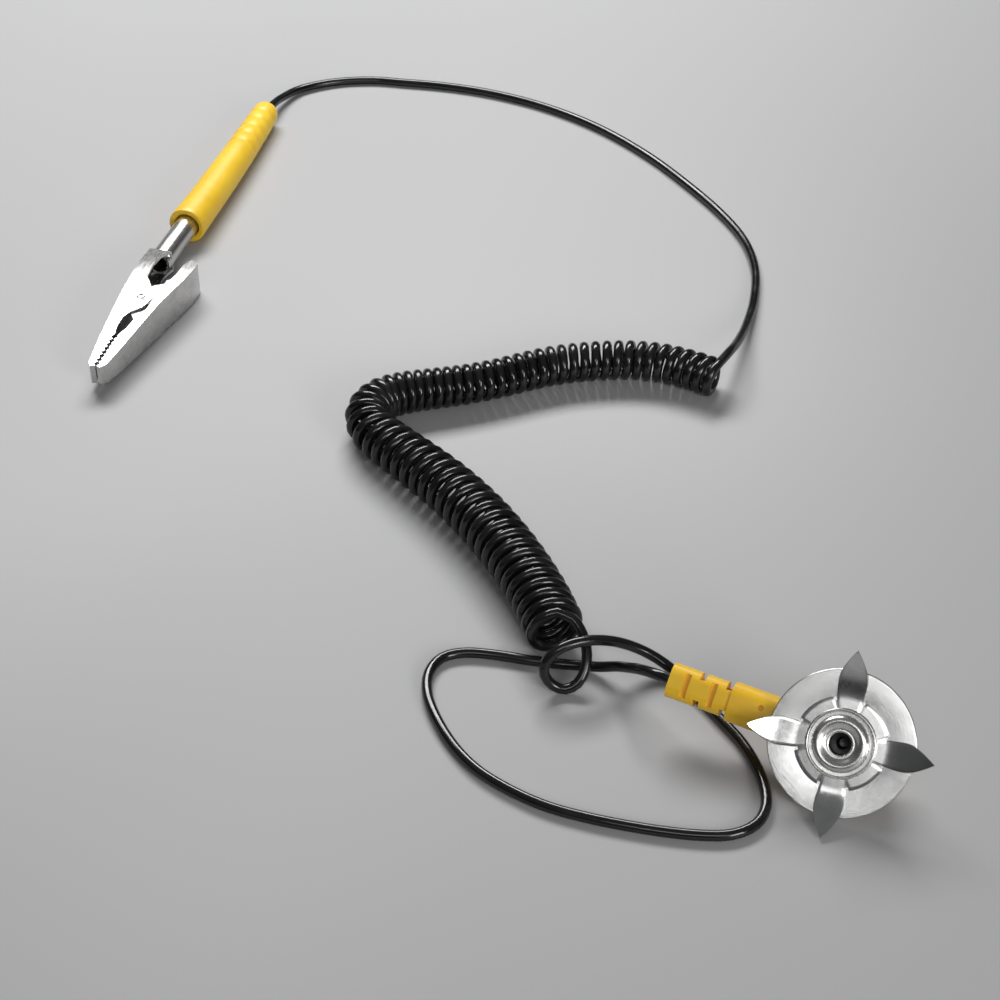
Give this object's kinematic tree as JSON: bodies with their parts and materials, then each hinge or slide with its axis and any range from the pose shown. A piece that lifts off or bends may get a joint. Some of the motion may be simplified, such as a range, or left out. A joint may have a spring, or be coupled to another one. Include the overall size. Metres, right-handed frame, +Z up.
{
  "type": "esd wrist strap grounding cord",
  "caption": "Grounding cord with a crocodile clip and boot, a curly cord with straight leads, and a snap head carrying a clawed metal stud disc.",
  "frame": {"origin": "centre of the base of the box round the clip and the snap head, on the surface the cord lies on", "axes": "+Z up from the surface, +Y from the snap head's end of the layout towards the boot, +X to the right seen from the head's end"},
  "size_m": [0.1692, 0.2796, 0.0266],
  "materials": {
    "plated_steel": "nickel-plated pressed steel, smooth and bright with soft edges",
    "spring_steel": "drawn spring wire",
    "yellow_vinyl": "moulded soft vinyl, warm yellow, satin",
    "black_vinyl": "extruded soft vinyl, near black, glossy",
    "copper_strand": "bare copper strands",
    "tinned_metal": "tinned metal, dull bright",
    "resistor_lacquer": "lacquered resistor body with colour bands",
    "brushed_steel": "turned sheet stainless steel with a fine circular grain",
    "polished_steel": "bright pressed stainless steel"
  },
  "bodies": {
    "root": {"fixed_jaw": "plated_steel", "pivot_rivet": "plated_steel", "torsion_spring": "spring_steel", "clip_boot": "yellow_vinyl", "clip_conductor": "copper_strand", "clip_lead": "black_vinyl", "curly_cord": "black_vinyl", "head_lead": "black_vinyl", "head_shell": "yellow_vinyl", "head_conductor": "copper_strand", "crimp_ferrule": "tinned_metal", "resistor_lead_in": "tinned_metal", "resistor_body": "resistor_lacquer", "resistor_lead_out": "tinned_metal", "solder_tab": "tinned_metal", "snap_socket": "plated_steel", "socket_rivet": "plated_steel"},
    "lever": {"lever_jaw": "plated_steel"},
    "snap_ring": {"socket_ring_spring": "spring_steel"},
    "disc": {"contact_disc": "brushed_steel", "claw_plate": "polished_steel", "bead_washer": "polished_steel", "stud_eyelet": "polished_steel", "stud_post": "polished_steel"}
  },
  "joints": [
    {"name": "jaw_pivot", "type": "hinge", "parent": "root", "child": "lever", "pos_m": [-0.07567, 0.03213, 0.0046], "axis": [0, 0, 1], "range_deg": [0, 20], "stiffness_Nm_per_rad": 0.05, "springref_deg": -28.65, "deforming": ["torsion_spring"]},
    {"name": "disc_swivel", "type": "hinge", "parent": "root", "child": "snap_ring", "pos_m": [0.07063, -0.11187, 0.008], "axis": [-0.2601, -0.7109, 0.6534], "continuous": true},
    {"name": "disc_unsnap", "type": "slide", "parent": "snap_ring", "child": "disc", "axis": [-0.2601, -0.7109, 0.6534], "range_m": [0, 0.006]}
  ]
}
